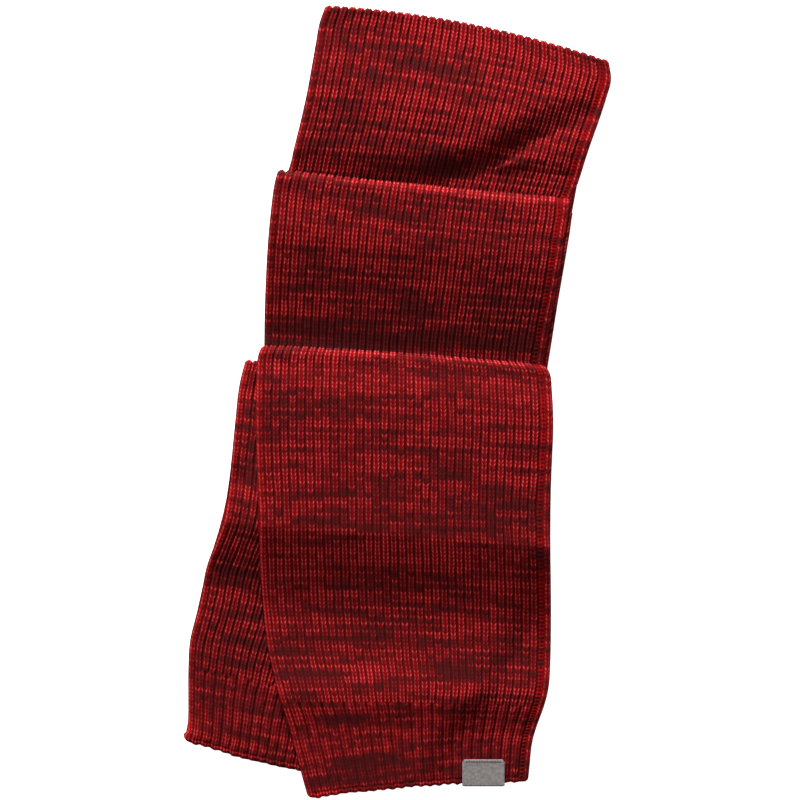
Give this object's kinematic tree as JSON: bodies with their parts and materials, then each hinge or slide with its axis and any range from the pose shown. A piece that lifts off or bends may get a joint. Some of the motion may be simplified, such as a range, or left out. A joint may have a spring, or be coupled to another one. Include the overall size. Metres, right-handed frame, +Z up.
{
  "type": "knit scarf",
  "caption": "Chunky ribbed knit scarf folded end to end, pleated and laid flat, with ribbed hems and a small label.",
  "frame": {"origin": "on the floor, under the middle of the folded scarf's box", "axes": "+Z up; +Y along the folded scarf, from the hems to the top fold; +X to the right as seen from above"},
  "size_m": [0.3386, 0.6302, 0.0255],
  "materials": {
    "marled_knit": "soft chunky rib knit, red marled with dark maroon",
    "label_cloth": "plain woven warm grey tape, bare"
  },
  "bodies": {
    "root": {"front_end_panel": "marled_knit", "back_end_panel": "marled_knit", "middle_panel": "marled_knit", "top_panel": "marled_knit", "hidden_layers": "marled_knit", "label": "label_cloth"}
  },
  "joints": []
}
